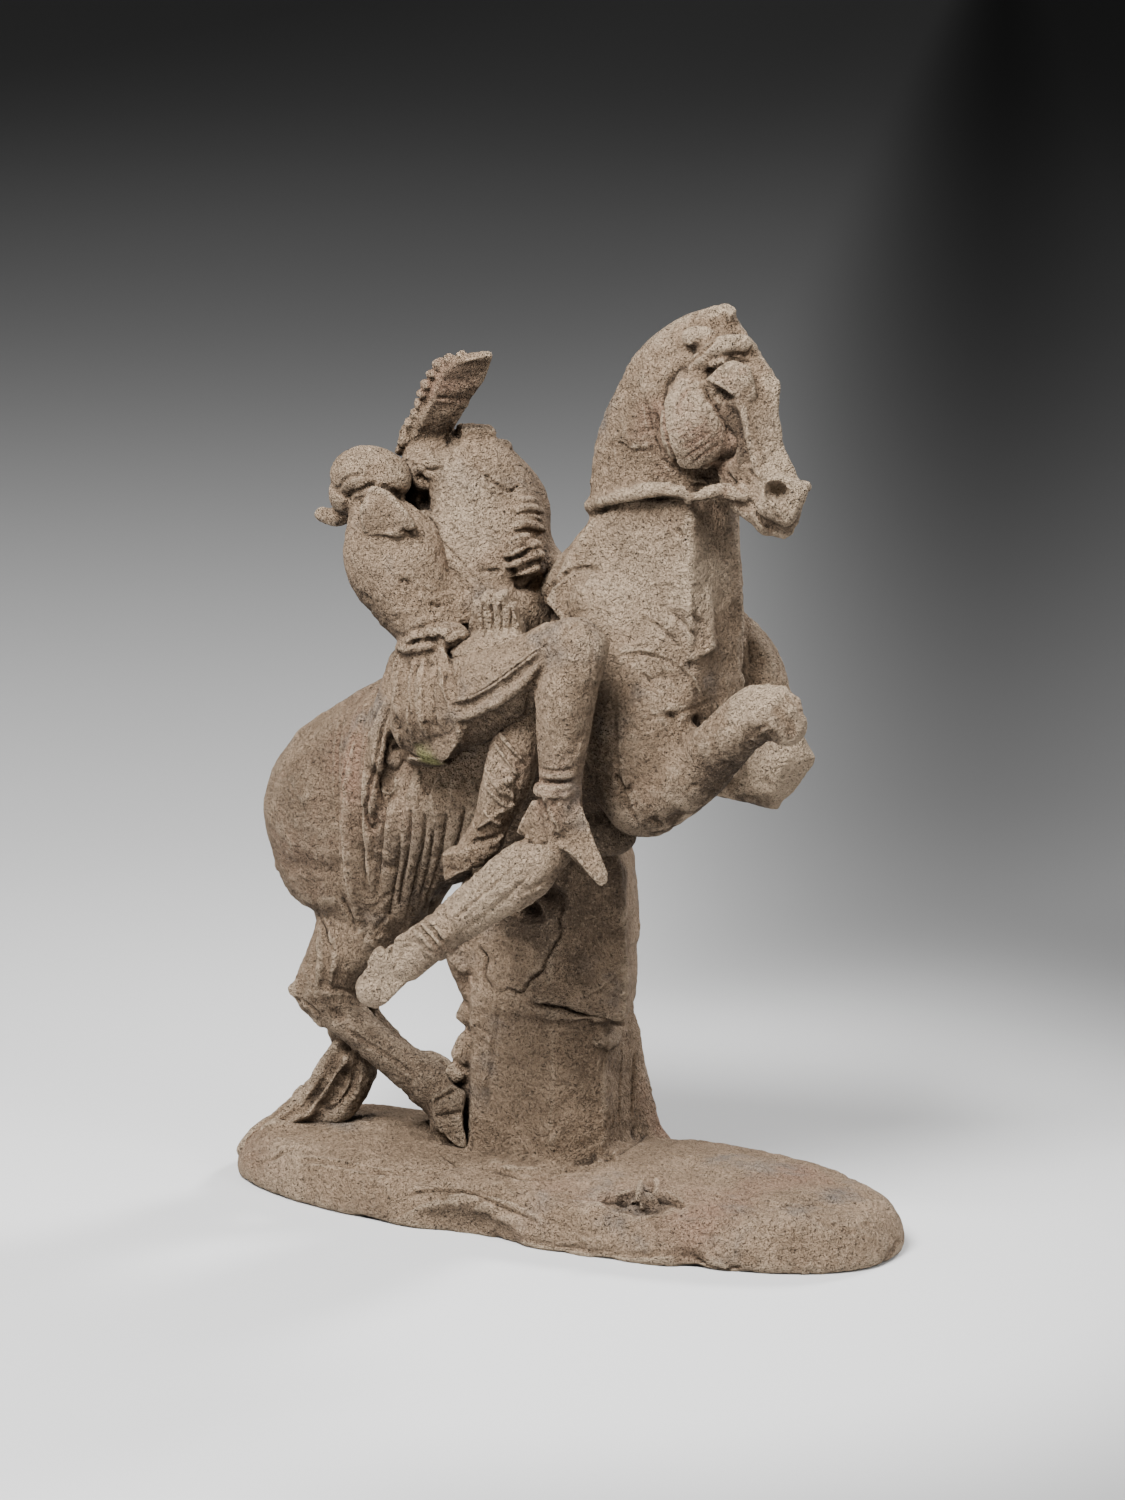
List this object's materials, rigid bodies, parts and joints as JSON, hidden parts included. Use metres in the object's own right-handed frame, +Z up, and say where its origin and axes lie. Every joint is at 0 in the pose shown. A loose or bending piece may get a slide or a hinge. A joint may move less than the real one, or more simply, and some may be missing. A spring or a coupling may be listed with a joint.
{
  "type": "equestrian statuette",
  "caption": "Unglazed fired clay sketch of a rearing horse carrying a headless warrior and a seated companion, propped on a stump and fired as one with its low oval plinth.",
  "frame": {"origin": "centre of the plinth's underside", "axes": "+X towards the horse's head along the plinth, +Y to the horse's left (the side away from the picture), +Z up"},
  "size_m": [0.301, 0.1448, 0.3805],
  "materials": {
    "terracotta": "unglazed terracotta, buff to grey-brown, grainy and dry, no sheen"
  },
  "bodies": {
    "root": {"equestrian_group": "terracotta"}
  },
  "joints": []
}
